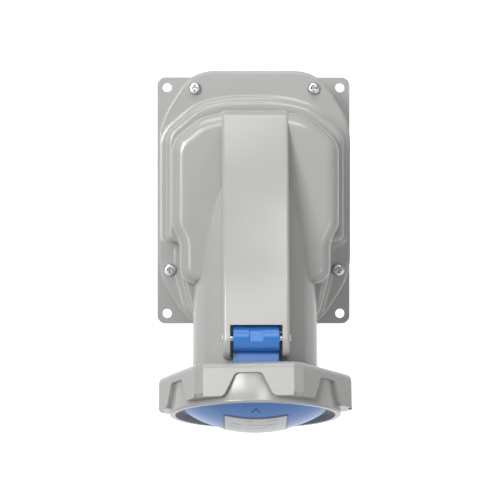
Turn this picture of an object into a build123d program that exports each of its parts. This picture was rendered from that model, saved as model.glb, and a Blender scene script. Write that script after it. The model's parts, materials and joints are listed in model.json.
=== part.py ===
from build123d import *
import os
from math import cos, radians, sin, sqrt, tan

# Angled wall inlet for a generator: a round pin-and-sleeve shroud that hangs from a wall box,
# closed by a sprung lid with a bayonet locking ring. All sizes are in millimetres.
# +X is to the right, +Z is up, and the wall is the plane Y = 0. The front faces -Y, so
# "depth" below is the distance out from the wall, which is -Y.

# Fits: a press or screwed fit, a running fit and a free clearance, each on the radius
PRESS_GAP = 0.02
RUNNING_GAP = 0.05
FREE_GAP = 0.2

# Wall mounting and back box
HOLE_PITCH_X = 130.0
HOLE_PITCH_Z = 170.0
WALL_HOLE_R = 3.5
EAR_WIDTH = 144.4
EAR_HEIGHT = 185.0
EAR_CORNER_R = 6.0
EAR_T = 5.0
WALL = 3.0
BOX_DEPTH = 34.0
HOUSING_HALF_W = 70.5
HOUSING_HALF_H = 94.0
HOUSING_SIDE_Z = 56.0
HOUSING_TOP_X = 46.0
HOUSING_SIDE_R = 50.0
HOUSING_TOP_R = 30.0
ENTRY_Z = 40.0
ENTRY_R = 20.0
ENTRY_COLLAR_T = 3.5
ENTRY_LENGTH = 10.0

# Hood: a flange and two steps
GASKET_T = 2.0
GASKET_EDGE = 0.8
GASKET_WIDTH = 6.0
FLANGE_BACK = BOX_DEPTH + GASKET_T
FLANGE_FRONT = FLANGE_BACK + 6.0
FLANGE_EDGE_R = 2.0
STEP_1_DEPTH = 84.0
STEP_1_EDGE_R = 4.0
STEP_1_FOOT_R = 6.5
STEP_1_HALF = [(20, 70), (41, 64.5), (63, 46), (63, -30), (53.4, -32), (53.4, -53), (45, -86)]
STEP_1_RADII = [90, 30, 16, 4, 3, 20, 10]
STEP_2_DEPTH = 100.0
STEP_2_EDGE_R = 10.0
STEP_2_TOP_Z = 61.5
STEP_2_HALF = [(18, STEP_2_TOP_Z), (39, 56.5), (59.3, 40), (59.3, -20), (53.3, -32), (53.3, -62)]
STEP_2_RADII = [80, 32, 20, 16, 16, 13]

# Hood screws, four of one size
HOOD_SCREWS = [(-43.5, 81.0), (43.5, 81.0), (-61.6, -51.8), (61.6, -51.8)]
SCREW_R = 2.5
SCREW_HEAD_R = 4.5
SCREW_HEAD_H = 3.2
SCREW_LENGTH = 24.0
SCREW_CLEARANCE_R = 2.8
SCREW_SEAT_R = 4.8
SCREW_BOSS_R = 5.5

# Shroud tube. Its own frame has its origin in the middle of the mouth, +Z out of the mouth,
# +X to the right and +Y towards the hinge at the front of the box.
TILT = 14.0
MOUTH_DEPTH = 98.0
MOUTH_Z = -139.8
TUBE_R = 44.0
BORE_R = 41.0
TUBE_WALL_LENGTH = 90.0
TUBE_LENGTH = 175.0
MOUTH_EDGE_R = 0.8

# Ridge and hinge, in the tube's frame unless said otherwise
RIDGE_HALF_W_BACK = 23.8
RIDGE_HALF_W_FRONT = 22.4
RIDGE_CROWN_ANGLE = 27.0
RIDGE_EDGE_R = 2.0
PIN_Y = 57.0
PIN_Z = -30.0
HINGE_PIN_R = 2.5
HINGE_PIN_LENGTH = 47.0
HINGE_PIN_CHAMFER = 0.4
CHEEK_END_R = 9.5
CHEEK_END_Z = -27.7
WINDOW_HALF_W = 17.6
WINDOW_TOP = -87.7
WINDOW_WALL = 4.0

# Lid
KNUCKLE_R = 8.75
KNUCKLE_HALF_W = 15.75
KNUCKLE_EDGE_R = 0.8
KNUCKLE_DIMPLE = (9.4, 7.4, 1.2)
ARM_HALF_W = 15.5
ARM_INNER_Y = 47.0
ARM_OUTER_Y = 52.0
ARM_MAX_R = 54.8
LID_BACK_Z = 0.8
LID_FLANGE_Z = 5.0
LID_FLANGE_R = 56.5
LID_R = 50.0
LID_EDGE_Z = 10.6
DOME_HEIGHT = 14.0
LID_HOLLOW_R = 36.5
GASKET_GROOVE_IN = 39.5
GASKET_GROOVE_OUT = 46.5
GASKET_GROOVE_Z = 3.0
LID_GASKET_GAP = 0.5
LABEL_WIDTH = 45.0
LABEL_LENGTH = 58.0
LABEL_T = 0.45
LABEL_CORNER_R = 3.0

# Hinge spring
SPRING_WIRE_R = 0.6
SPRING_COIL_R = 4.1
SPRING_POCKET_R = 5.4
SPRING_TURNS = 6
SPRING_POCKET_X = 4.0
SPRING_END_GAP = 0.3
SPRING_LEG = 3.0
SPRING_LEG_HOLE_R = 0.75
SPRING_LEG_HOLE_DEPTH = 3.5

# Locking ring
RING_SIDES = 6
RING_TURN_OFFSET = -5.0
RING_CORNER_CIRCLE_R = 69.7
RING_FACET_R = 67.6
RING_FACET_NOTCH = 2.6
RING_BACK_Z = -14.0
RING_PAD_FRONT_Z = 10.0
RING_FRONT_Z = 14.0
RING_BAND_BACK_R = 58.6
RING_BAND_FRONT_R = 60.2
RING_BAND_EDGE_R = 1.2
RING_LIP_R = 56.0
RING_BORE_R = 57.0
RING_BACK_EDGE_R = 5.0
SCOOP_BACK_Z = -6.0
SCOOP_BACK_HALF_W = 9.0
SCOOP_FRONT_HALF_W = 16.8
SCOOP_CORNER_R = 4.0
SCOOP_FOOT_R = 5.0
SHOULDER_R = 51.5
SHOULDER_Z = (5.5, 8.5)
SNAP_LIP_R = 55.3
SNAP_LIP_Z = (-1.6, 0.2)

# Bayonet lugs, by their angles from the hinge towards +X, with the ring unlocked
LOCK_TURN = 28.0
TUBE_LUG_START = 80.0
LUG_ANGLE = 20.0
TUBE_LUG_R = 54.0
TUBE_LUG_Z = (-8.7, -3.5)
RING_LUG_R = 49.0
RING_LUG_Z = (-13.0, -9.5)

# Contacts and their carrier, in the tube's frame
SHELF_Z = (-80.0, -74.0)
SHELF_R = 36.5
SEAL_T = 1.0
SEAL_GAP = 0.6
CARRIER_FRONT_Z = -72.0
CARRIER_BACK_Z = -92.0
CARRIER_BOSS_R = 36.2
CARRIER_DISC_R = 40.7
CARRIER_SCREW_CIRCLE_R = 38.7
CARRIER_SCREW_R = 1.45
CARRIER_SCREW_GRIP = 4.5
CARRIER_SCREW_HEAD_R = 1.95
CARRIER_SCREW_HEAD_H = 2.0
CARRIER_SCREW_SLOT = (0.7, 0.7)
CONTACT_CIRCLE_R = 24.0
CONTACT_ANGLES = [45.0, 135.0, 225.0, 315.0]
POWER_PIN_R = 5.0
EARTH_PIN_R = 6.0
PILOT_PIN_R = 3.0
POWER_TIP_Z = -16.0
EARTH_TIP_Z = -12.0
PILOT_TIP_Z = -32.0
PIN_STUD_R = 4.0
PIN_STUD_END_Z = -100.0
CLAMP_R = 8.0
CLAMP_Z = (-124.0, -93.0)
WIRE_HOLE_R = 5.6
WIRE_HOLE_DEPTH = 20.0
CLAMP_EDGE = 0.6
TERMINAL_SCREW_R = 2.5
TERMINAL_SCREW_OUT = 1.5
TERMINAL_SOCKET = (2.5, 2.0)
TERMINAL_SCREW_Z = [-118.0, -110.0]

tilt = radians(TILT)
TUBE = Plane(
    origin=(0, -MOUTH_DEPTH, MOUTH_Z),
    x_dir=(1, 0, 0),
    z_dir=(0, -sin(tilt), -cos(tilt)),
)
SIDE = Plane(origin=(0, 0, 0), x_dir=(0, -1, 0), z_dir=(-1, 0, 0))
HOOD_REACH = 200.0
LUG_STARTS = [TUBE_LUG_START, TUBE_LUG_START + 120, TUBE_LUG_START + 240]
CONTACT_RADII = [POWER_PIN_R, POWER_PIN_R, POWER_PIN_R, EARTH_PIN_R]
CARRIER_SCREW_ANGLES = [0.0, 90.0, 180.0, 270.0]


def at_depth(depth):
    """Plane parallel to the wall, facing the user, with its own axes along +X and +Z."""
    return Plane.XZ.offset(depth)


def side_point(y, z):
    """A point of the tube's frame as (depth, height) in the side view."""
    return (
        MOUTH_DEPTH + y * cos(tilt) + z * sin(tilt),
        MOUTH_Z + y * sin(tilt) - z * cos(tilt),
    )


def turned(points):
    """Solid of revolution about Z from a closed outline of (radius, z) points."""
    return revolve(Plane.XZ * Polygon(*points, align=None), Axis.Z)


def tube_ring(inner, outer, low, high):
    """Plain ring about Z between two heights."""
    return turned([(inner, low), (outer, low), (outer, high), (inner, high)])


def rod(radius, low, high):
    """Plain cylinder about Z between two heights."""
    return Pos(0, 0, low) * Cylinder(radius, high - low, align=(Align.CENTER, Align.CENTER, Align.MIN))


def mirrored(points):
    """Closed anticlockwise outline from its right half, given from top to bottom."""
    return [(-x, z) for x, z in points] + points[::-1]


def rounded(points, radii):
    """Polygon with each corner of its right half, and its mirror image, rounded."""
    face = Polygon(*mirrored(points), align=None)
    for (x, z), radius in zip(points, radii):
        if radius:
            corners = [v for v in face.vertices() if abs(abs(v.X) - x) < 0.01 and abs(v.Y - z) < 0.01]
            face = fillet(corners, radius)
    return face


def housing_outline(inset=0.0):
    """Outline shared by the back box, its gasket and the hood's flange."""
    half = [
        (HOUSING_TOP_X, HOUSING_HALF_H),
        (HOUSING_HALF_W, HOUSING_SIDE_Z),
        (HOUSING_HALF_W, -HOUSING_SIDE_Z),
        (HOUSING_TOP_X, -HOUSING_HALF_H),
    ]
    radii = [HOUSING_TOP_R, HOUSING_SIDE_R, HOUSING_SIDE_R, HOUSING_TOP_R]
    outline = rounded(half, radii)
    return offset(outline, -inset) if inset else outline


def drill(points, radius, depth, length):
    """Round holes or rods square to the wall, starting at a depth and running outwards."""
    discs = Sketch() + [Pos(x, z) * Circle(radius) for x, z in points]
    return extrude(at_depth(depth) * discs, length)


def make_back_box():
    """Open-fronted box that bolts to the wall by four ears; the supply cable enters its back."""
    outside = extrude(at_depth(0) * housing_outline(), BOX_DEPTH)
    inside = extrude(at_depth(WALL) * housing_outline(WALL), BOX_DEPTH)
    ears = extrude(at_depth(0) * RectangleRounded(EAR_WIDTH, EAR_HEIGHT, EAR_CORNER_R), EAR_T)
    bosses = drill(HOOD_SCREWS, SCREW_BOSS_R, WALL, BOX_DEPTH - WALL) & outside
    collar = drill([(0, ENTRY_Z)], ENTRY_R + ENTRY_COLLAR_T, 0, ENTRY_LENGTH)
    box = outside + ears - inside + bosses + collar
    box -= drill([(0, ENTRY_Z)], ENTRY_R, 0, ENTRY_LENGTH)
    wall_holes = [(x * HOLE_PITCH_X / 2, z * HOLE_PITCH_Z / 2) for x in (-1, 1) for z in (-1, 1)]
    box -= drill(wall_holes, WALL_HOLE_R, 0, EAR_T)
    return box - drill(HOOD_SCREWS, SCREW_R + PRESS_GAP, BOX_DEPTH - SCREW_LENGTH, SCREW_LENGTH)


def make_hood_gasket():
    """Flat rubber seal between box and hood, widened round each screw."""
    outline = housing_outline(GASKET_EDGE)
    band = outline - offset(outline, -GASKET_WIDTH)
    pads = Sketch() + [Pos(x, z) * Circle(SCREW_BOSS_R) for x, z in HOOD_SCREWS]
    holes = Sketch() + [Pos(x, z) * Circle(SCREW_CLEARANCE_R) for x, z in HOOD_SCREWS]
    return extrude(at_depth(BOX_DEPTH) * ((band + (pads & outline)) - holes), GASKET_T)


def hood_steps():
    """Flange and first step of the hood, with a round foot where they meet."""
    flange = extrude(at_depth(FLANGE_BACK) * housing_outline(), FLANGE_FRONT - FLANGE_BACK)
    rim = flange.edges().filter_by(lambda edge: abs(edge.center().Y + FLANGE_FRONT) < 0.01)
    flange = fillet(rim, FLANGE_EDGE_R)
    step = extrude(at_depth(FLANGE_BACK) * rounded(STEP_1_HALF, STEP_1_RADII), STEP_1_DEPTH - FLANGE_BACK)
    top = step.edges().filter_by(lambda edge: abs(edge.center().Y + STEP_1_DEPTH) < 0.01)
    step = fillet(top, STEP_1_EDGE_R)
    body = flange + step
    foot = body.edges().filter_by(
        lambda edge: abs(edge.center().Y + FLANGE_FRONT) < 0.01
        and abs(edge.center().X) < 64
        and -86.5 < edge.center().Z < 70.5
    )
    return fillet(foot, STEP_1_FOOT_R)


def pads(inset=0.0):
    """The second step, from inside the first one to its rounded front."""
    outline = rounded(STEP_2_HALF, STEP_2_RADII)
    if inset:
        outline = offset(outline, -inset)
    back = FLANGE_FRONT if inset == 0 else FLANGE_BACK
    block = extrude(at_depth(back) * outline, STEP_2_DEPTH - inset - back)
    front = block.edges().filter_by(lambda edge: abs(edge.center().Y + STEP_2_DEPTH - inset) < 0.01)
    return fillet(front, STEP_2_EDGE_R - inset)


def crown_point(radius, angle):
    """A point of the round top edge of the second step, in the side view."""
    return (
        STEP_2_DEPTH - STEP_2_EDGE_R + radius * cos(radians(angle)),
        STEP_2_TOP_Z - STEP_2_EDGE_R + radius * sin(radians(angle)),
    )


def ridge(inset=0.0):
    """Ridge that leaves the second step's top edge and ends round the hinge; an inset hollows it."""
    edge_r = STEP_2_EDGE_R - inset
    crown = crown_point(edge_r, RIDGE_CROWN_ANGLE)
    slope = (sin(radians(RIDGE_CROWN_ANGLE)), -cos(radians(RIDGE_CROWN_ANGLE)))
    end_r = CHEEK_END_R - inset
    nose = side_point(PIN_Y + end_r, CHEEK_END_Z)
    corner = side_point(PIN_Y + end_r * sqrt(0.5), CHEEK_END_Z + end_r * sqrt(0.5))
    end = side_point(PIN_Y, CHEEK_END_Z + end_r)
    root = side_point(TUBE_R - WALL / 2, CHEEK_END_Z + end_r)
    inner = side_point(TUBE_R - WALL / 2, -TUBE_WALL_LENGTH)
    top = crown_point(edge_r, 90)
    shoulder = crown_point(edge_r, (90 + RIDGE_CROWN_ANGLE) / 2)
    back = (STEP_1_DEPTH - STEP_2_EDGE_R, top[1])
    outline = make_face(
        [
            ThreePointArc(top, shoulder, crown),
            TangentArc(crown, nose, tangent=slope),
            ThreePointArc(nose, corner, end),
            Polyline(end, root, inner, back, top),
        ]
    )
    slab = extrude(SIDE * outline, RIDGE_HALF_W_BACK + 1, both=True)
    return slab & ridge_plan(inset, back[0], nose[0] + 1)


def ridge_plan(inset, back_depth, front_depth):
    """Wedge that gives the ridge its two slightly tapered sides."""
    half_back = RIDGE_HALF_W_BACK - inset
    half_front = RIDGE_HALF_W_FRONT - inset
    plan = [
        (-half_back, -back_depth),
        (-half_front, -front_depth),
        (half_front, -front_depth),
        (half_back, -back_depth),
    ]
    return extrude(Pos(0, 0, -HOOD_REACH) * Polygon(*plan, align=None), 2 * HOOD_REACH)


def hinge_window():
    """Room for the lid's knuckle between the two cheeks, straight in to the tube's surface."""
    height = TUBE_R
    opening = at_depth(MOUTH_DEPTH) * Pos(0, WINDOW_TOP - height / 2) * Rectangle(2 * WINDOW_HALF_W, height)
    return extrude(opening, HOOD_REACH) - TUBE * rod(TUBE_R, -TUBE_LENGTH, HOOD_REACH)


def hinge_bore(radius, length, x=0.0, offset_z=0.0):
    """Rod along the hinge axis, or parallel to it and further from the mouth."""
    return Pos(x, PIN_Y, PIN_Z - offset_z) * Rot(0, 90, 0) * Cylinder(radius, length)


def sector(inner, outer, heights, start, angle):
    """Part of a ring, from an angle that is counted from the hinge towards +X."""
    low, high = heights
    profile = Plane.XZ * Polygon((inner, low), (outer, low), (outer, high), (inner, high), align=None)
    return Rot(0, 0, 90 - start - angle) * revolve(profile, Axis.Z, angle)


def hood_hollow():
    """Space inside both steps and the ridge, closed above the hinge window."""
    outline = offset(rounded(STEP_1_HALF, STEP_1_RADII), -WALL)
    step_1_inside = extrude(at_depth(FLANGE_BACK) * outline, STEP_1_DEPTH - WALL - FLANGE_BACK)
    below = Pos(0, WINDOW_TOP + WINDOW_WALL - HOOD_REACH / 2) * Rectangle(HOOD_REACH, HOOD_REACH)
    pocket_end = extrude(at_depth(0) * below, HOOD_REACH)
    return step_1_inside + pads(WALL) + (ridge(WALL) - pocket_end)


def make_hood():
    """Moulded hood: flange, two steps, shroud tube, ridge and hinge cheeks, as one shell."""
    tube = rod(TUBE_R, -TUBE_LENGTH, 0)
    tube = fillet(tube.edges().group_by(Axis.Z)[-1], MOUTH_EDGE_R)
    front_half = extrude(at_depth(FLANGE_BACK) * Rectangle(4 * TUBE_R, 2 * HOOD_REACH), HOOD_REACH)
    spine = ridge()
    long_edges = spine.edges().filter_by(
        lambda edge: abs(edge.center().X) > RIDGE_HALF_W_FRONT - 1 and edge.length > 3 * TUBE_R
    )
    spine = fillet(long_edges, RIDGE_EDGE_R)
    body = hood_steps() + pads() + ((TUBE * tube) & front_half) + spine

    body -= hood_hollow() - TUBE * rod(TUBE_R, -TUBE_WALL_LENGTH, 1)
    body -= (TUBE * rod(BORE_R, -TUBE_LENGTH + WALL, 1)) & front_half

    body += TUBE * tube_ring(SHELF_R, BORE_R + 1, *SHELF_Z)
    for start in LUG_STARTS:
        body += TUBE * sector(TUBE_R - 1, TUBE_LUG_R, TUBE_LUG_Z, start, LUG_ANGLE)
    body -= hinge_window()
    body -= TUBE * hinge_bore(HINGE_PIN_R + PRESS_GAP / 2, 4 * TUBE_R)
    leg_x = WINDOW_HALF_W + SPRING_LEG_HOLE_DEPTH / 2
    body -= TUBE * hinge_bore(SPRING_LEG_HOLE_R, SPRING_LEG_HOLE_DEPTH, leg_x, SPRING_COIL_R)
    for angle in CARRIER_SCREW_ANGLES:
        hole = rod(CARRIER_SCREW_R, SHELF_Z[0], SHELF_Z[0] + CARRIER_SCREW_GRIP)
        body -= TUBE * polar(CARRIER_SCREW_CIRCLE_R, angle, hole)
    body -= drill(HOOD_SCREWS, SCREW_CLEARANCE_R, FLANGE_BACK, FLANGE_FRONT - FLANGE_BACK)
    return body - drill(HOOD_SCREWS, SCREW_SEAT_R, FLANGE_FRONT, SCREW_HEAD_H)


def polar(radius, angle, shape):
    """A shape moved out from the tube's axis at an angle from the hinge towards +X."""
    return Pos(radius * sin(radians(angle)), radius * cos(radians(angle)), 0) * shape


def hexagon_socket(width, depth):
    """Hexagon recess, downwards from Z = 0."""
    return Pos(0, 0, -depth) * extrude(RegularPolygon(width / 2, 6, major_radius=False), depth + 1)


def cross_recess(width, depth):
    """Cross-head recess, downwards from Z = 0, narrowing to its bottom."""
    slot = Rectangle(width, width / 4)
    arms = [
        loft([Pos(0, 0, -depth) * Rot(0, 0, turn) * scale(slot, 0.45), Rot(0, 0, turn) * slot])
        for turn in (0, 90)
    ]
    return arms[0] + arms[1]


def make_hood_screws():
    """Four pan-head machine screws with cross recesses."""
    head = rod(SCREW_HEAD_R, 0, SCREW_HEAD_H)
    head = fillet(head.edges().group_by(Axis.Z)[-1], 0.6 * SCREW_HEAD_H)
    screw = head + rod(SCREW_R, 1 - SCREW_LENGTH - (FLANGE_FRONT - BOX_DEPTH), 0)
    screw -= Pos(0, 0, SCREW_HEAD_H) * cross_recess(1.15 * SCREW_HEAD_R, 0.7 * SCREW_HEAD_H)
    return [at_depth(FLANGE_FRONT) * Pos(x, z, 0) * screw for x, z in HOOD_SCREWS]


def make_hinge_pin():
    """Plain steel pin with chamfered ends, held tight in both cheeks."""
    pin = hinge_bore(HINGE_PIN_R, HINGE_PIN_LENGTH)
    return TUBE * chamfer(pin.edges().filter_by(GeomType.CIRCLE), HINGE_PIN_CHAMFER)


def make_hinge_spring():
    """Torsion spring in the knuckle, with one leg in the lid and one in the right cheek."""
    length = KNUCKLE_HALF_W - SPRING_POCKET_X - 2.5 * SPRING_WIRE_R
    path = Helix(length / SPRING_TURNS, length, SPRING_COIL_R)
    coil = sweep(Plane(path @ 0, z_dir=path % 0) * Circle(SPRING_WIRE_R), path, is_frenet=True)
    knee = Sphere(SPRING_WIRE_R + RUNNING_GAP)
    reach = SPRING_LEG + WINDOW_HALF_W - KNUCKLE_HALF_W
    low_leg = Pos(SPRING_COIL_R, 0, 0) * (rod(SPRING_WIRE_R, -SPRING_LEG, 0) + knee)
    high_leg = Pos(SPRING_COIL_R, 0, length) * (rod(SPRING_WIRE_R, 0, reach) + knee)
    spring = coil + low_leg + high_leg
    start_x = SPRING_POCKET_X + SPRING_WIRE_R + SPRING_END_GAP
    return TUBE * Pos(start_x, PIN_Y, PIN_Z) * Rot(0, 90, 0) * spring


def dome(radius_change=0.0):
    """Ball whose top is the lid's dome, made larger or smaller."""
    ball_r = (LID_R**2 + DOME_HEIGHT**2) / (2 * DOME_HEIGHT)
    return Pos(0, 0, LID_EDGE_Z + DOME_HEIGHT - ball_r) * Sphere(ball_r + radius_change)


def make_lid():
    """Domed lid with its seal groove, and the arm and knuckle that hang it on the hinge."""
    lid = rod(LID_FLANGE_R, LID_BACK_Z, LID_FLANGE_Z)
    lid += rod(LID_R, LID_BACK_Z, LID_EDGE_Z + DOME_HEIGHT) & dome()
    lid -= rod(LID_HOLLOW_R, 0, LID_EDGE_Z + DOME_HEIGHT) & dome(-WALL)
    lid -= tube_ring(GASKET_GROOVE_IN, GASKET_GROOVE_OUT, 0, GASKET_GROOVE_Z)
    arm_depth = ARM_OUTER_Y - ARM_INNER_Y
    arm_length = GASKET_GROOVE_Z - PIN_Z
    arm = Box(2 * ARM_HALF_W, arm_depth, arm_length)
    arm = Pos(0, (ARM_OUTER_Y + ARM_INNER_Y) / 2, PIN_Z + arm_length / 2) * arm
    lid += arm & rod(ARM_MAX_R, PIN_Z, GASKET_GROOVE_Z)
    knuckle = hinge_bore(KNUCKLE_R, 2 * KNUCKLE_HALF_W)
    lid += fillet(knuckle.edges().filter_by(GeomType.CIRCLE), KNUCKLE_EDGE_R)
    lid -= hinge_bore(HINGE_PIN_R + RUNNING_GAP, 4 * KNUCKLE_HALF_W)
    pocket = KNUCKLE_HALF_W - SPRING_POCKET_X
    lid -= hinge_bore(SPRING_POCKET_R, pocket, SPRING_POCKET_X + pocket / 2)
    lid -= hinge_bore(SPRING_LEG_HOLE_R, 2 * pocket, SPRING_POCKET_X - SPRING_LEG + pocket, SPRING_COIL_R)
    width, height, depth = KNUCKLE_DIMPLE
    lid -= Pos(0, PIN_Y + KNUCKLE_R, PIN_Z) * Box(width, 2 * depth, height)
    return TUBE * lid


def make_lid_gasket():
    """Ring seal that the lid presses on the tube's mouth."""
    return TUBE * tube_ring(
        GASKET_GROOVE_IN + LID_GASKET_GAP, GASKET_GROOVE_OUT - LID_GASKET_GAP, 0, GASKET_GROOVE_Z
    )


def make_rating_label():
    """Blank label that follows the lid's dome."""
    sheet = extrude(RectangleRounded(LABEL_WIDTH, LABEL_LENGTH, LABEL_CORNER_R), LID_EDGE_Z + DOME_HEIGHT + 1)
    return TUBE * ((sheet & dome(LABEL_T)) - dome())


def ring_scoop():
    """Finger scoop in one flat of the ring, down to the band, open at the front with round feet."""
    wide = 2 * SCOOP_FRONT_HALF_W
    half = [
        (wide, RING_FRONT_Z),
        (wide, RING_PAD_FRONT_Z),
        (SCOOP_FRONT_HALF_W, RING_PAD_FRONT_Z),
        (SCOOP_BACK_HALF_W, SCOOP_BACK_Z),
    ]
    outline = rounded(half, [0, 0, SCOOP_FOOT_R, SCOOP_CORNER_R])
    return extrude(Plane.XZ.offset(-RING_CORNER_CIRCLE_R) * outline, RING_CORNER_CIRCLE_R)


def ring_band():
    """Round body of the ring, which shows at the bottom of the scoops and flares to the front lip."""
    back = (RING_BAND_BACK_R, SCOOP_BACK_Z - 1)
    middle = (RING_BAND_BACK_R + 0.1, (RING_FRONT_Z + SCOOP_BACK_Z) / 2)
    front = (RING_BAND_FRONT_R, RING_FRONT_Z)
    profile = make_face(
        [
            ThreePointArc(back, middle, front),
            Polyline(front, (0, RING_FRONT_Z), (0, back[1]), back),
        ]
    )
    band = revolve(Plane.XZ * profile, Axis.Z)
    return fillet(band.edges().group_by(Axis.Z)[-1], RING_BAND_EDGE_R)


def ring_facet():
    """What is cut off one corner of the ring: a flat facet, and a notch at its front."""
    facet_w = 2 * (RING_CORNER_CIRCLE_R - RING_FACET_R) * tan(radians(90 - 180 / RING_SIDES))
    profile = [
        (RING_FACET_R, RING_BACK_Z),
        (RING_CORNER_CIRCLE_R, RING_BACK_Z),
        (RING_CORNER_CIRCLE_R, RING_PAD_FRONT_Z),
        (RING_FACET_R - RING_FACET_NOTCH, RING_PAD_FRONT_Z),
        (RING_FACET_R, RING_PAD_FRONT_Z - RING_FACET_NOTCH),
    ]
    return extrude(Plane.XZ * Polygon(*profile, align=None), facet_w / 2, both=True)


def make_locking_ring():
    """Grip ring with a scoop in each of its flats and bayonet lugs inside."""
    hexagon = RegularPolygon(RING_CORNER_CIRCLE_R, RING_SIDES, align=None)
    prism = extrude(Pos(0, 0, RING_BACK_Z) * hexagon, RING_PAD_FRONT_Z - RING_BACK_Z)
    for side in range(RING_SIDES):
        prism -= Rot(0, 0, 360 * side / RING_SIDES) * ring_facet()
    prism = fillet(prism.edges().group_by(Axis.Z)[0], RING_BACK_EDGE_R)
    scoop = ring_scoop() - ring_band()
    for side in range(RING_SIDES):
        prism -= Rot(0, 0, 360 * (side + 0.5) / RING_SIDES - 90) * scoop
    grip = Rot(0, 0, 90 - 180 / RING_SIDES - RING_TURN_OFFSET) * prism
    ring = grip + ring_band()
    ring -= rod(RING_BORE_R, RING_BACK_Z, SHOULDER_Z[0])
    ring -= rod(RING_LIP_R, SHOULDER_Z[0], RING_FRONT_Z)
    ring += tube_ring(SHOULDER_R, RING_BORE_R + 1, *SHOULDER_Z)
    ring += tube_ring(SNAP_LIP_R, RING_BORE_R + 1, *SNAP_LIP_Z)
    for start in LUG_STARTS:
        ring += sector(RING_LUG_R, RING_BORE_R + 1, RING_LUG_Z, start - LOCK_TURN, LUG_ANGLE)
    return TUBE * ring


def make_pin_carrier():
    """Moulded insulator that holds the contacts and closes the tube behind them."""
    carrier = rod(CARRIER_DISC_R, CARRIER_BACK_Z, SHELF_Z[0] - SEAL_T)
    carrier += rod(CARRIER_BOSS_R, CARRIER_BACK_Z, CARRIER_FRONT_Z)
    for angle, radius in zip(CONTACT_ANGLES, CONTACT_RADII):
        carrier -= polar(CONTACT_CIRCLE_R, angle, rod(radius + PRESS_GAP, CARRIER_BACK_Z, CARRIER_FRONT_Z))
    carrier -= rod(PILOT_PIN_R + PRESS_GAP, CARRIER_BACK_Z, CARRIER_FRONT_Z)
    for angle in CARRIER_SCREW_ANGLES:
        hole = rod(CARRIER_SCREW_R + FREE_GAP, CARRIER_BACK_Z, SHELF_Z[0])
        carrier -= polar(CARRIER_SCREW_CIRCLE_R, angle, hole)
    return TUBE * carrier


def make_carrier_seal():
    """Flat rubber ring between the carrier and the shelf in the tube."""
    seal = tube_ring(CARRIER_BOSS_R + SEAL_GAP, CARRIER_DISC_R, SHELF_Z[0] - SEAL_T, SHELF_Z[0])
    for angle in CARRIER_SCREW_ANGLES:
        hole = rod(CARRIER_SCREW_R + FREE_GAP, SHELF_Z[0] - SEAL_T, SHELF_Z[0])
        seal -= polar(CARRIER_SCREW_CIRCLE_R, angle, hole)
    return TUBE * seal


def make_carrier_screws():
    """Small screws that pull the carrier forwards against the shelf."""
    head_back = CARRIER_BACK_Z - CARRIER_SCREW_HEAD_H
    slot_w, slot_depth = CARRIER_SCREW_SLOT
    screw = rod(CARRIER_SCREW_HEAD_R, head_back, CARRIER_BACK_Z)
    screw += rod(CARRIER_SCREW_R - PRESS_GAP, CARRIER_BACK_Z, SHELF_Z[0] + CARRIER_SCREW_GRIP - 0.5)
    screw -= Pos(0, 0, head_back) * Box(2 * CARRIER_SCREW_HEAD_R, slot_w, 2 * slot_depth)
    return [TUBE * polar(CARRIER_SCREW_CIRCLE_R, angle, screw) for angle in CARRIER_SCREW_ANGLES]


def contact_pin(radius, tip_z):
    """Round contact with a rounded tip and a thinner stud behind the carrier."""
    pin = rod(radius, CARRIER_BACK_Z, tip_z)
    pin = fillet(pin.edges().group_by(Axis.Z)[-1], 0.45 * radius)
    return pin + rod(min(PIN_STUD_R, radius - 0.5), PIN_STUD_END_Z, CARRIER_BACK_Z)


def make_terminal_clamp():
    """Brass clamp on a contact's stud, with a socket for the wire and two screw holes."""
    low, high = CLAMP_Z
    clamp = rod(CLAMP_R, low, high)
    clamp = chamfer(clamp.edges().filter_by(GeomType.CIRCLE), CLAMP_EDGE)
    clamp -= rod(PIN_STUD_R + PRESS_GAP / 2, PIN_STUD_END_Z - 1, high)
    clamp -= rod(WIRE_HOLE_R, low, low + WIRE_HOLE_DEPTH)
    for z in TERMINAL_SCREW_Z:
        clamp -= Pos(0, 0, z) * Rot(-90, 0, 0) * rod(TERMINAL_SCREW_R + PRESS_GAP, 0, CLAMP_R + 1)
    return clamp


def make_terminal_screw():
    """Socket set screw that presses the wire, along +Y."""
    screw = rod(TERMINAL_SCREW_R, WIRE_HOLE_R + FREE_GAP, CLAMP_R + TERMINAL_SCREW_OUT)
    screw -= Pos(0, 0, CLAMP_R + TERMINAL_SCREW_OUT) * hexagon_socket(*TERMINAL_SOCKET)
    return Rot(-90, 0, 0) * screw


def at_contact(angle, shape):
    """A shape on the contact circle, turned so that its +Y points away from the tube's axis."""
    return TUBE * polar(CONTACT_CIRCLE_R, angle, Rot(0, 0, -angle) * shape)


os.makedirs("parts", exist_ok=True)

nodes = {
    "back_box": make_back_box(),
    "hood_gasket": make_hood_gasket(),
    "hood": make_hood(),
    "hood_screws": Compound(make_hood_screws()),
    "hinge_pin": make_hinge_pin(),
    "hinge_spring": make_hinge_spring(),
    "lid": make_lid(),
    "lid_gasket": make_lid_gasket(),
    "rating_label": make_rating_label(),
    "locking_ring": make_locking_ring(),
    "pin_carrier": make_pin_carrier(),
    "carrier_seal": make_carrier_seal(),
    "carrier_screws": Compound(make_carrier_screws()),
    "pilot_pin": TUBE * contact_pin(PILOT_PIN_R, PILOT_TIP_Z),
}

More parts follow.
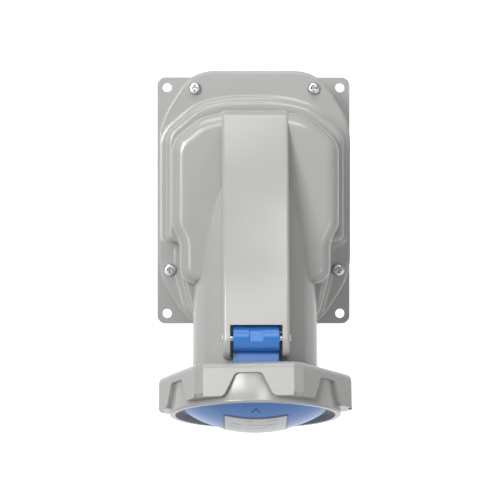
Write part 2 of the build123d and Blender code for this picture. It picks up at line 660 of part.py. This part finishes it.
clamp = make_terminal_clamp()
screw = make_terminal_screw()
terminal_screws = []
for number, angle in enumerate(CONTACT_ANGLES, start=1):
    is_earth = number == len(CONTACT_ANGLES)
    name = "earth_pin" if is_earth else f"power_pin_{number}"
    tip_z = EARTH_TIP_Z if is_earth else POWER_TIP_Z
    nodes[name] = at_contact(angle, contact_pin(CONTACT_RADII[number - 1], tip_z))
    nodes[f"terminal_clamp_{number}"] = at_contact(angle, clamp)
    terminal_screws += [at_contact(angle, Pos(0, 0, z) * screw) for z in TERMINAL_SCREW_Z]
nodes["terminal_screws"] = Compound(terminal_screws)

for name, shape in nodes.items():
    export_step(shape, f"parts/{name}.step")
    print(name, round(shape.volume), shape.is_valid)
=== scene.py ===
import json
import math

import bmesh
import bpy
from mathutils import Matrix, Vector


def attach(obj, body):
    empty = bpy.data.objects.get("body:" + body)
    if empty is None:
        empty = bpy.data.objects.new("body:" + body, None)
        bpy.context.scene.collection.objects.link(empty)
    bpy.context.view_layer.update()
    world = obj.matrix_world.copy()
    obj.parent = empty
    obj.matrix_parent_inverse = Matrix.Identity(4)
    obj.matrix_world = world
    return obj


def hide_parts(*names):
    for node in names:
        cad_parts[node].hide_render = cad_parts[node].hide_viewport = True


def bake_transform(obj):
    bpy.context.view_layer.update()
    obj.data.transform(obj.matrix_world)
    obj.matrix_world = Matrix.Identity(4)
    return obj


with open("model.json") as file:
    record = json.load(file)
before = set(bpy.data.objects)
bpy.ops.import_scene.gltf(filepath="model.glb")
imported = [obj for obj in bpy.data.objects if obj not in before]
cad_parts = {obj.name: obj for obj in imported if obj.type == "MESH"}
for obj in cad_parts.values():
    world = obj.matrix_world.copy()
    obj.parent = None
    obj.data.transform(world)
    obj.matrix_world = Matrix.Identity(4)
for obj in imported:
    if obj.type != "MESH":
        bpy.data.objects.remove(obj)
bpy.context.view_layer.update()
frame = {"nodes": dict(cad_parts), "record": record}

RECORD = frame["record"]
NODES = frame["nodes"]
JOINTS = {joint["name"]: joint for joint in RECORD["behaviour"]["joints"]}

# The mouth's own frame: the ring turns about the mouth's axis, which runs out of the mouth as Z
MOUTH = Vector(JOINTS["ring_turn"]["pos_m"])
MOUTH_Z = -Vector(JOINTS["ring_turn"]["axis"]).normalized()
MOUTH_X = Vector((1, 0, 0))
MOUTH_Y = MOUTH_Z.cross(MOUTH_X)

# Lid and label as they are in the CAD, and the added arrow, in metres
DOME_R = 0.050
DOME_HEIGHT = 0.014
DOME_FOOT = 0.0106
DOME_BALL_R = (DOME_R**2 + DOME_HEIGHT**2) / (2 * DOME_HEIGHT)
LABEL_HALF_W = 0.0225
LABEL_HALF_L = 0.029
LABEL_FRAME_W = 0.0013
LABEL_ROW_PITCH = 0.0070
LABEL_ROW_HALF_H = 0.14  # of the pitch
LABEL_MARGIN = 2.5 * LABEL_FRAME_W
DASH_STRETCH = (0.5, 0.4, 0.4)
DASH_LEVEL = 0.47
DASH_INK = (0.20, 0.21, 0.24)
FRAME_INK = (0.06, 0.065, 0.085)
ARROW_MIDDLE = 0.0385
ARROW_HALF_W = 0.0026
ARROW_RISE = 0.0042
ARROW_LINE_W = 0.0009
ARROW_PROUD = 0.00025
# The arrow's bars in section: heights over the dome, and the size of the bar there
ARROW_SECTION = ((-0.0002, 1.0), (0.6 * ARROW_PROUD, 1.0), (ARROW_PROUD, 0.7))

# Camera: level, square to the wall and a little to the left of and below the box's middle
CAMERA_DISTANCE = 1.40
CAMERA_LEFT = 0.018
CAMERA_BELOW = 0.0373
CAMERA_TURN = math.radians(0.63)
VIEW_WIDTH_AT_WALL = 0.3775
SENSOR_WIDTH = 36.0
VIEW_END = 30

# Lights: name, place, aim, size, watts, and whether it lights surfaces or only shows in their gloss
LIGHTS = [
    ("highlight_left", (-0.78, -1.2, 0.12), (0, -0.08, -0.02), (0.32, 1.0), 5.5, False),
    ("highlight_top", (0.21, -1.15, 0.76), (0, -0.13, -0.04), (0.28, 0.40), 2.8, False),
    ("highlight_front", (-0.2, -1.15, 0.40), (0, -0.12, -0.08), (0.6, 0.36), 2.6, False),
    ("front_left", (-0.78, -1.5, 0.50), (0, -0.08, -0.06), (0.6, 0.6), 13.6, True),
    ("low_right", (0.85, -1.1, -0.35), (0, -0.10, -0.10), (0.5, 0.5), 1.9, True),
    ("top", (-0.3, -0.6, 1.3), (0, -0.06, 0), (0.9, 0.6), 7.2, True),
]
WORLD_LIGHT = 0.30
WORLD_SEEN = 1.0

# Stage: a floor that bends up into a wall
STAGE_HALF_W = 8.0
FLOOR_Z = -1.9
FLOOR_FRONT = -6.0
FLOOR_BACK = 1.6
STAGE_BEND_R = 0.8
STAGE_BEND_STEPS = 12
STAGE_TOP = 3.0
STAGE_GLOW_SEEN = 1.0
STAGE_GLOW_AS_LIGHT = 0.22

# The lid looks a little lighter than its pigment, mostly in green: the gain of each colour channel
LIT_BLUE_GAIN = (1.25, 1.38, 1.2)
# Painted shade: the arrow's blue is darkened to stand in for the shade in its moulded lines
ARROW_PAINTED_SHADE = 0.35


# ---------------------------------------------------------------- studio


def add_camera():
    """Camera at the photograph's angle, framed by the width that it sees at the wall."""
    data = bpy.data.cameras.new("camera")
    data.sensor_width = SENSOR_WIDTH
    data.lens = SENSOR_WIDTH * CAMERA_DISTANCE / VIEW_WIDTH_AT_WALL
    data.clip_end = VIEW_END
    camera = bpy.data.objects.new("camera", data)
    camera.location = (-CAMERA_LEFT, -CAMERA_DISTANCE, -CAMERA_BELOW)
    camera.rotation_euler = (math.pi / 2, 0, -CAMERA_TURN)
    bpy.context.collection.objects.link(camera)
    bpy.context.scene.camera = camera


def add_area_light(name, location, target, size, power, diffuse):
    """Soft rectangular light at a place, aimed at a point; without diffuse it gives highlights only."""
    data = bpy.data.lights.new(name, "AREA")
    data.shape = "RECTANGLE"
    data.size, data.size_y = size
    data.energy = power
    light = bpy.data.objects.new(name, data)
    light.location = location
    light.rotation_euler = (Vector(target) - Vector(location)).to_track_quat("-Z", "Y").to_euler()
    light.visible_diffuse = diffuse
    bpy.context.collection.objects.link(light)


def add_world():
    """Even white surroundings: white where the camera sees them, dimmer as a light."""
    world = bpy.data.worlds.new("studio")
    world.use_nodes = True
    tree = world.node_tree
    tree.nodes.clear()
    out = tree.nodes.new("ShaderNodeOutputWorld")
    mix = tree.nodes.new("ShaderNodeMixShader")
    path = tree.nodes.new("ShaderNodeLightPath")
    light = tree.nodes.new("ShaderNodeBackground")
    light.inputs["Strength"].default_value = WORLD_LIGHT
    seen = tree.nodes.new("ShaderNodeBackground")
    seen.inputs["Strength"].default_value = WORLD_SEEN
    for node in (light, seen):
        node.inputs["Color"].default_value = (1, 1, 1, 1)
    tree.links.new(path.outputs["Is Camera Ray"], mix.inputs["Fac"])
    tree.links.new(light.outputs[0], mix.inputs[1])
    tree.links.new(seen.outputs[0], mix.inputs[2])
    tree.links.new(mix.outputs[0], out.inputs["Surface"])
    bpy.context.scene.world = world


# ---------------------------------------------------------------- materials


class Shader:
    """A material and short ways to add nodes to it. Coordinates are metres in the object's own space."""

    def __init__(self, name):
        self.material = bpy.data.materials.new(name)
        self.material.use_nodes = True
        self.tree = self.material.node_tree
        self.surface = self.tree.nodes["Principled BSDF"]
        self.place = self.tree.nodes.new("ShaderNodeTexCoord").outputs["Object"]

    def set(self, **values):
        """Sets sockets of the surface by name, with _ for each space."""
        for name, value in values.items():
            self.surface.inputs[name.replace("_", " ")].default_value = value

    def link(self, source, target):
        self.tree.links.new(source, target)

    def noise(self, scale, detail=2.0, roughness=0.5, stretch=None):
        """Noise between 0 and 1, with scale in cycles per metre."""
        node = self.tree.nodes.new("ShaderNodeTexNoise")
        node.inputs["Scale"].default_value = scale
        node.inputs["Detail"].default_value = detail
        node.inputs["Roughness"].default_value = roughness
        place = self.place
        if stretch:
            mapping = self.tree.nodes.new("ShaderNodeMapping")
            mapping.inputs["Scale"].default_value = stretch
            self.link(place, mapping.inputs["Vector"])
            place = mapping.outputs["Vector"]
        self.link(place, node.inputs["Vector"])
        return node.outputs["Fac"]

    def spread(self, value, low, high, to_low=0.0, to_high=1.0):
        """A value moved from one range to another and kept inside it."""
        node = self.tree.nodes.new("ShaderNodeMapRange")
        node.inputs["From Min"].default_value = low
        node.inputs["From Max"].default_value = high
        node.inputs["To Min"].default_value = to_low
        node.inputs["To Max"].default_value = to_high
        self.link(value, node.inputs["Value"])
        return node.outputs["Result"]

    def mix(self, factor, first, second):
        """Colour between two colours or colour outputs, by a factor output."""
        node = self.tree.nodes.new("ShaderNodeMix")
        node.data_type = "RGBA"
        self.link(factor, node.inputs["Factor"])
        for socket, colour in ((node.inputs["A"], first), (node.inputs["B"], second)):
            if isinstance(colour, tuple):
                socket.default_value = (*colour, 1)
            else:
                self.link(colour, socket)
        return node.outputs["Result"]

    def crevices(self, distance):
        """0 in the open and 1 deep in corners."""
        node = self.tree.nodes.new("ShaderNodeAmbientOcclusion")
        node.samples = 6
        node.inputs["Distance"].default_value = distance
        return self.spread(node.outputs["AO"], 0.35, 0.85, 1.0, 0.0)

    def edges(self, radius):
        """1 on sharp edges and 0 on flat stretches, and the normal that rounds the edges."""
        bevel = self.tree.nodes.new("ShaderNodeBevel")
        bevel.samples = 4
        bevel.inputs["Radius"].default_value = radius
        geometry = self.tree.nodes.new("ShaderNodeNewGeometry")
        dot = self.tree.nodes.new("ShaderNodeVectorMath")
        dot.operation = "DOT_PRODUCT"
        self.link(bevel.outputs["Normal"], dot.inputs[0])
        self.link(geometry.outputs["Normal"], dot.inputs[1])
        return self.spread(dot.outputs["Value"], 0.985, 0.86), bevel.outputs["Normal"]

    def math(self, operation, first, second=None):
        """Result of a Math node; an input is a number or an output."""
        node = self.tree.nodes.new("ShaderNodeMath")
        node.operation = operation
        for socket, value in zip(node.inputs, (first, second)):
            if isinstance(value, (int, float)):
                socket.default_value = value
            elif value is not None:
                self.link(value, socket)
        return node.outputs[0]

    def along(self, direction, origin):
        """Distance in metres from a point, measured along a direction."""
        node = self.tree.nodes.new("ShaderNodeVectorMath")
        node.operation = "DOT_PRODUCT"
        self.link(self.place, node.inputs[0])
        node.inputs[1].default_value = direction
        return self.math("SUBTRACT", node.outputs["Value"], direction.dot(origin))

    def bump(self, height, distance, strength=1.0, normal=None):
        """Normal of a surface raised by up to a distance in metres, over another normal if one is given."""
        node = self.tree.nodes.new("ShaderNodeBump")
        node.inputs["Distance"].default_value = distance
        node.inputs["Strength"].default_value = strength
        self.link(height, node.inputs["Height"])
        if normal:
            self.link(normal, node.inputs["Normal"])
        return node.outputs["Normal"]

    def shade(self, colour, roughness, normal):
        """Joins the outputs to the surface and gives the finished material."""
        for name, output in (("Base Color", colour), ("Roughness", roughness), ("Normal", normal)):
            self.link(output, self.surface.inputs[name])
        return self.material


def tinted(colour, amount):
    """A colour made lighter by a factor above 1 or darker by one below 1."""
    return tuple(min(1.0, channel * amount) for channel in colour)


def lit_blue(colour):
    """The lid's blue as it looks under light, from the pigment that the record gives."""
    return tuple(channel * gain for channel, gain in zip(colour, LIT_BLUE_GAIN))


def moulded_plastic(name, colour, roughness, grain=0.000006, wear=0.35, corner_shade_strength=0.5):
    """Injection-moulded plastic: fine spark-eroded grain, faint flow clouds, rubbed edges, and painted shade
    that darkens the corners.
    """
    s = Shader(name)
    s.set(Specular_IOR_Level=0.5)
    clouds = s.spread(s.noise(28.0, detail=4.0, roughness=0.6), 0.3, 0.7)
    speckle = s.spread(s.noise(1500.0), 0.35, 0.65)
    worn, rounded = s.edges(0.0007)
    base = s.mix(clouds, tinted(colour, 0.985), tinted(colour, 1.015))
    base = s.mix(s.spread(speckle, 0, 1, 0.0, 0.10), base, tinted(colour, 0.86))
    patchy = s.spread(s.noise(120.0, detail=3.0, roughness=0.6), 0.42, 0.62)
    base = s.mix(s.math("MULTIPLY", s.math("MULTIPLY", worn, patchy), wear), base, tinted(colour, 1.28))
    # Painted shade: the colour is darkened in corners and creases, where ambient occlusion finds little open
    # space
    corner_shade = s.crevices(0.006)
    base = s.mix(s.math("MULTIPLY", corner_shade, corner_shade_strength), base, tinted(colour, 0.62))
    rough = s.spread(s.noise(45.0, detail=5.0, roughness=0.65), 0.3, 0.7, roughness - 0.02, roughness + 0.05)
    grainy = s.bump(s.noise(2600.0), grain, 1.0, rounded)
    wavy = s.bump(s.noise(16.0, detail=1.0), 0.0005, 0.25, grainy)
    return s.shade(base, rough, wavy)


def printed_label(name, colour):
    """Glossy white foil with a dark printed frame and rows of faint dashes, and no lettering."""
    s = Shader(name)
    across = s.math("ABSOLUTE", s.along(MOUTH_X, MOUTH))
    down = s.along(MOUTH_Y, MOUTH)
    past_side = s.math("SUBTRACT", across, LABEL_HALF_W - LABEL_FRAME_W)
    past_end = s.math("SUBTRACT", s.math("ABSOLUTE", down), LABEL_HALF_L - LABEL_FRAME_W)
    frame_ink = s.math("GREATER_THAN", s.math("MAXIMUM", past_side, past_end), 0.0)
    row = s.math("FRACT", s.math("DIVIDE", down, LABEL_ROW_PITCH))
    in_row = s.math("LESS_THAN", s.math("ABSOLUTE", s.math("SUBTRACT", row, 0.5)), LABEL_ROW_HALF_H)
    dashes = s.math("GREATER_THAN", s.noise(400.0, detail=0.0, stretch=DASH_STRETCH), DASH_LEVEL)
    inside = s.math("LESS_THAN", across, LABEL_HALF_W - LABEL_MARGIN)
    marks = s.math("MULTIPLY", s.math("MULTIPLY", in_row, dashes), inside)
    paper = s.mix(s.spread(s.noise(60.0, detail=4.0), 0.3, 0.7), tinted(colour, 0.94), colour)
    inked = s.mix(s.math("MULTIPLY", marks, 0.45), paper, DASH_INK)
    inked = s.mix(s.math("MULTIPLY", frame_ink, 0.9), inked, FRAME_INK)
    rough = s.spread(s.noise(90.0, detail=3.0), 0.3, 0.7, 0.25, 0.38)
    return s.shade(inked, rough, s.bump(s.noise(350.0, detail=3.0), 0.00003))


def rubber(name, colour):
    """Black rubber with bloom in patches."""
    s = Shader(name)
    s.set(Specular_IOR_Level=0.35)
    bloom = s.spread(s.noise(160.0, detail=4.0, roughness=0.6), 0.45, 0.75)
    base = s.mix(s.spread(bloom, 0, 1, 0.0, 0.5), colour, tinted(colour, 2.2))
    rough = s.spread(s.noise(300.0, detail=3.0), 0.3, 0.7, 0.6, 0.8)
    return s.shade(base, rough, s.bump(s.noise(2500.0), 0.00004))


def machined_metal(name, colour, roughness, stretch=(1, 1, 1), tarnish=0.35):
    """Turned or drawn metal: fine tool lines, tarnish in patches and bright rubbed edges."""
    s = Shader(name)
    s.set(Metallic=1.0)
    patches = s.spread(s.noise(260.0, detail=5.0, roughness=0.65), 0.42, 0.7)
    worn, rounded = s.edges(0.0003)
    base = s.mix(s.spread(patches, 0, 1, 0.0, tarnish), colour, tinted(colour, 0.6))
    base = s.mix(s.spread(worn, 0, 1, 0.0, 0.5), base, tinted(colour, 1.25))
    streaks = s.noise(700.0, detail=4.0, roughness=0.6, stretch=stretch)
    rough = s.spread(streaks, 0.3, 0.7, roughness - 0.08, roughness + 0.12)
    lines = s.bump(s.noise(1800.0, stretch=stretch), 0.00002, 1.0, rounded)
    return s.shade(base, rough, lines)


def slot_colour(slot):
    """Base colour that the record gives a material slot."""
    for material in RECORD["materials"]:
        if material["slot"] == slot:
            return tuple(material["base_color"][:3])


def make_materials():
    """One finish for each of the record's material slots, by the slot's name."""
    return {
        "housing_grey": moulded_plastic("housing_grey", slot_colour("housing_grey"), 0.16),
        "ring_grey": moulded_plastic("ring_grey", slot_colour("ring_grey"), 0.19, wear=0.5),
        "lid_blue": moulded_plastic("lid_blue", lit_blue(slot_colour("lid_blue")), 0.22, wear=0.15, corner_shade_strength=0.4),
        "carrier_blue": moulded_plastic("carrier_blue", slot_colour("carrier_blue"), 0.5, wear=0.15),
        "seal_rubber": rubber("seal_rubber", slot_colour("seal_rubber")),
        "screw_steel": machined_metal("screw_steel", slot_colour("screw_steel"), 0.30),
        "pin_steel": machined_metal("pin_steel", slot_colour("pin_steel"), 0.26, (0.1, 1, 1)),
        "contact_brass": machined_metal("contact_brass", slot_colour("contact_brass"), 0.28, (1, 1, 0.1)),
        "label_white": printed_label("label_white", slot_colour("label_white")),
    }


# ---------------------------------------------------------------- pieces


def dress_nodes(materials):
    """Gives each CAD node the finish of its slot."""
    for entry in RECORD["subparts"]:
        node = NODES[entry["node"]]
        node.data.materials.clear()
        node.data.materials.append(materials[entry["material_slot"]])


def on_dome(x, y, proud):
    """Point that stands proud of the lid's dome, over a place in the mouth's plane."""
    middle = DOME_FOOT + DOME_HEIGHT - DOME_BALL_R
    z = middle + math.sqrt((DOME_BALL_R + proud) ** 2 - x * x - y * y)
    return MOUTH + x * MOUTH_X + y * MOUTH_Y + z * MOUTH_Z


def arrow_bar(side):
    """Corners, in the mouth's plane, of one of the arrow's two bars."""
    foot = Vector((side * ARROW_HALF_W, ARROW_MIDDLE - ARROW_RISE / 2))
    tip = Vector((0, ARROW_MIDDLE + ARROW_RISE / 2))
    along = (tip - foot).normalized()
    across = Vector((-along.y, along.x)) * ARROW_LINE_W / 2
    start = foot - along * ARROW_LINE_W / 2
    end = tip + along * ARROW_LINE_W / 2
    return [start - across, end - across, end + across, start + across]


def raise_bar(mesh, corners):
    """Closes a bar that follows the dome, from just under its surface to a smaller top."""
    middle = sum(corners, Vector((0, 0))) / len(corners)
    rows = []
    for proud, shrink in ARROW_SECTION:
        places = [middle + (corner - middle) * shrink for corner in corners]
        rows.append([mesh.verts.new(on_dome(place.x, place.y, proud)) for place in places])
    for low, high in zip(rows, rows[1:]):
        for i in range(len(corners)):
            after = (i + 1) % len(corners)
            mesh.faces.new((low[i], low[after], high[after], high[i]))
    mesh.faces.new(rows[-1])
    mesh.faces.new(rows[0][::-1])


def add_lid_arrow(material):
    """Plain moulded arrow on the dome that marks the hinge side: two short bars with soft tops."""
    mesh = bmesh.new()
    for side in (-1, 1):
        raise_bar(mesh, arrow_bar(side))
    bmesh.ops.recalc_face_normals(mesh, faces=mesh.faces)
    data = bpy.data.meshes.new("lid_arrow")
    mesh.to_mesh(data)
    mesh.free()
    data.materials.append(material)
    arrow = bpy.data.objects.new("lid_arrow", data)
    bpy.context.collection.objects.link(arrow)
    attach(arrow, "lid")


def add_hinge_spring(material):
    """The spring again, as a fixed copy in its own finish that takes the place of the hidden CAD spring."""
    node = NODES["hinge_spring"]
    spring = bpy.data.objects.new("wound_spring", node.data.copy())
    spring.data.materials.clear()
    spring.data.materials.append(material)
    bpy.context.collection.objects.link(spring)
    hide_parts("hinge_spring")
    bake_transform(spring)


def stage_profile():
    """Side view of the stage as (y, z) points, from the floor's front edge to the wall's top."""
    points = [(FLOOR_FRONT, FLOOR_Z), (FLOOR_BACK, FLOOR_Z)]
    for step in range(1, STAGE_BEND_STEPS + 1):
        angle = math.pi / 2 * step / STAGE_BEND_STEPS
        y = FLOOR_BACK + STAGE_BEND_R * math.sin(angle)
        z = FLOOR_Z + STAGE_BEND_R * (1 - math.cos(angle))
        points.append((y, z))
    points.append((FLOOR_BACK + STAGE_BEND_R, STAGE_TOP))
    return points


def stage_white():
    """Pale matt paint that shows as white but adds only a little light."""
    s = Shader("stage_white")
    s.set(Base_Color=(0.4, 0.4, 0.4, 1), Roughness=0.9, Emission_Color=(1, 1, 1, 1))
    path = s.tree.nodes.new("ShaderNodeLightPath")
    glow = s.spread(path.outputs["Is Diffuse Ray"], 0, 1, STAGE_GLOW_SEEN, STAGE_GLOW_AS_LIGHT)
    s.link(glow, s.surface.inputs["Emission Strength"])
    return s.material


def add_stage():
    """Pale floor far below, curving up into a pale wall far behind."""
    profile = stage_profile()
    count = len(profile)
    points = [(x, y, z) for x in (-STAGE_HALF_W, STAGE_HALF_W) for y, z in profile]
    faces = [(i, i + 1, count + i + 1, count + i) for i in range(count - 1)]
    mesh = bpy.data.meshes.new("stage")
    mesh.from_pydata(points, [], faces)
    for face in mesh.polygons:
        face.use_smooth = True
    mesh.materials.append(stage_white())
    stage = bpy.data.objects.new("stage", mesh)
    bpy.context.collection.objects.link(stage)


# ---------------------------------------------------------------- the scene


add_camera()
add_world()
add_stage()
for light in LIGHTS:
    add_area_light(*light)
bpy.context.scene.view_settings.view_transform = "Standard"

materials = make_materials()
dress_nodes(materials)
add_hinge_spring(materials["pin_steel"])
# The arrow's material is the lid's blue, darkened as painted shade
arrow_painted_shade_colour = tinted(slot_colour("lid_blue"), ARROW_PAINTED_SHADE)
add_lid_arrow(moulded_plastic("arrow_blue_painted_shade", arrow_painted_shade_colour, 0.4, wear=0.0, corner_shade_strength=0.2))
